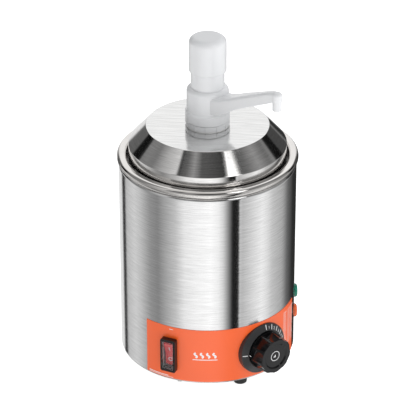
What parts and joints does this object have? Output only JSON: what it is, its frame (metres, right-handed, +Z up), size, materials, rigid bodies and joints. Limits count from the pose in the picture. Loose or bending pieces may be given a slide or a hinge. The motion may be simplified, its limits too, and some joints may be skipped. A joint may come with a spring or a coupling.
{
  "type": "nacho cheese dispenser",
  "caption": "Countertop heated cheese-sauce dispenser: round brushed-steel housing with lift-out pot, spun lid, press pump with swivel spout, rocker switch and dial thermostat.",
  "frame": {"origin": "on the axis of the round housing, at the plane of the foot soles", "axes": "+Z up along the housing's axis; -Y to the front, midway between the switch and the knob; +X to the right seen from the front"},
  "size_m": [0.1749, 0.1975, 0.3366],
  "materials": {
    "brushed_steel": "circumferential satin brushing",
    "lid_steel": "spun and brushed top, polished cone",
    "polished_steel": "polished stainless steel",
    "well_steel": "mill-finish stainless steel",
    "zinc_steel": "zinc plated",
    "orange_film": "satin printed film",
    "black_rubber": "matt rubber",
    "heater_band_metal": "heat-tinted metal jacket",
    "glass_wool": "pressed glass-wool blanket",
    "cutout_body": "phenolic body",
    "thermostat_case": "ceramic and plated steel",
    "copper_tube": "drawn copper",
    "dial_black": "satin moulded, white printed scale",
    "knob_black": "gloss moulded phenolic",
    "switch_black": "fine moulded texture",
    "rocker_red": "translucent gloss",
    "clear_plastic": "clear flexible boot",
    "green_lens": "translucent dome",
    "orange_lens": "translucent dome",
    "lamp_plastic": "white nylon",
    "gland_black": "black nylon",
    "terminal_nylon": "natural nylon",
    "lead_insulation": "braided sleeving",
    "white_plastic": "satin moulded polypropylene",
    "natural_plastic": "natural polypropylene",
    "white_silicone": "soft silicone",
    "valve_steel": "stainless steel"
  },
  "bodies": {
    "housing": {"outer_shell": "brushed_steel", "control_panel_overlay": "orange_film", "base_plate": "zinc_steel", "base_screws": "zinc_steel", "rubber_feet": "black_rubber", "foot_screws": "zinc_steel", "foot_nuts": "zinc_steel", "heating_well": "well_steel", "band_heater": "heater_band_metal", "heater_clamp_screw": "zinc_steel", "insulation_sleeve": "glass_wool", "thermal_cutout": "cutout_body", "thermostat_body": "thermostat_case", "thermostat_spacers": "zinc_steel", "thermostat_screws": "zinc_steel", "thermostat_capillary": "copper_tube", "dial_ring": "dial_black", "switch_housing": "switch_black", "switch_cover": "clear_plastic", "switch_terminals": "zinc_steel", "green_lamp_lens": "green_lens", "orange_lamp_lens": "orange_lens", "lamp_bodies": "lamp_plastic", "lamp_nuts": "zinc_steel", "cord_gland": "gland_black", "gland_nut": "gland_black", "terminal_block": "terminal_nylon", "terminal_screws": "zinc_steel", "earth_stud": "zinc_steel", "internal_wiring": "lead_insulation"},
    "rocker": {"switch_rocker": "rocker_red"},
    "knob": {"temperature_knob": "knob_black", "thermostat_spindle": "zinc_steel"},
    "pot": {"food_pot": "polished_steel"},
    "lid": {"lid": "lid_steel", "pump_gasket": "white_silicone", "pump_bush": "white_plastic", "bush_locknut": "white_plastic", "screw_collar": "white_plastic", "pump_cylinder": "natural_plastic", "foot_valve": "natural_plastic", "dip_tube": "natural_plastic"},
    "inlet_ball": {"inlet_ball": "valve_steel"},
    "spout": {"spout_body": "white_plastic", "guide_sleeve": "white_plastic", "rod_seals": "white_silicone"},
    "plunger": {"press_cap": "white_plastic", "plunger_rod": "natural_plastic", "piston": "natural_plastic", "piston_seal": "white_silicone", "spring_washer": "valve_steel", "return_spring": "valve_steel"},
    "outlet_ball": {"outlet_ball": "valve_steel"}
  },
  "joints": [
    {"name": "pot_lift", "type": "slide", "parent": "housing", "child": "pot", "axis": [0, 0, 1], "range_m": [0, 0.146]},
    {"name": "lid_lift", "type": "slide", "parent": "pot", "child": "lid", "axis": [0, 0, 1], "range_m": [0, 0.146]},
    {"name": "spout_swivel", "type": "hinge", "parent": "lid", "child": "spout", "pos_m": [0, 0, 0.27], "axis": [0, 0, 1], "continuous": true},
    {"name": "plunger_press", "type": "slide", "parent": "spout", "child": "plunger", "axis": [0, 0, -1], "range_m": [0, 0.0135], "stiffness_N_per_m": 400, "springref_m": -0.01, "deforming": ["return_spring"]},
    {"name": "inlet_ball_lift", "type": "slide", "parent": "lid", "child": "inlet_ball", "axis": [0, 0, 1], "range_m": [0, 0.003]},
    {"name": "outlet_ball_lift", "type": "slide", "parent": "plunger", "child": "outlet_ball", "axis": [0, 0, 1], "range_m": [0, 0.002]},
    {"name": "rocker_tilt", "type": "hinge", "parent": "housing", "child": "rocker", "pos_m": [-0.04223, -0.07029, 0.039], "axis": [-0.8572, 0.515, 0], "range_deg": [0, 22]},
    {"name": "knob_turn", "type": "hinge", "parent": "housing", "child": "knob", "pos_m": [0.05193, -0.08311, 0.0396], "axis": [-0.5299, 0.848, 0], "range_deg": [0, 270]}
  ]
}
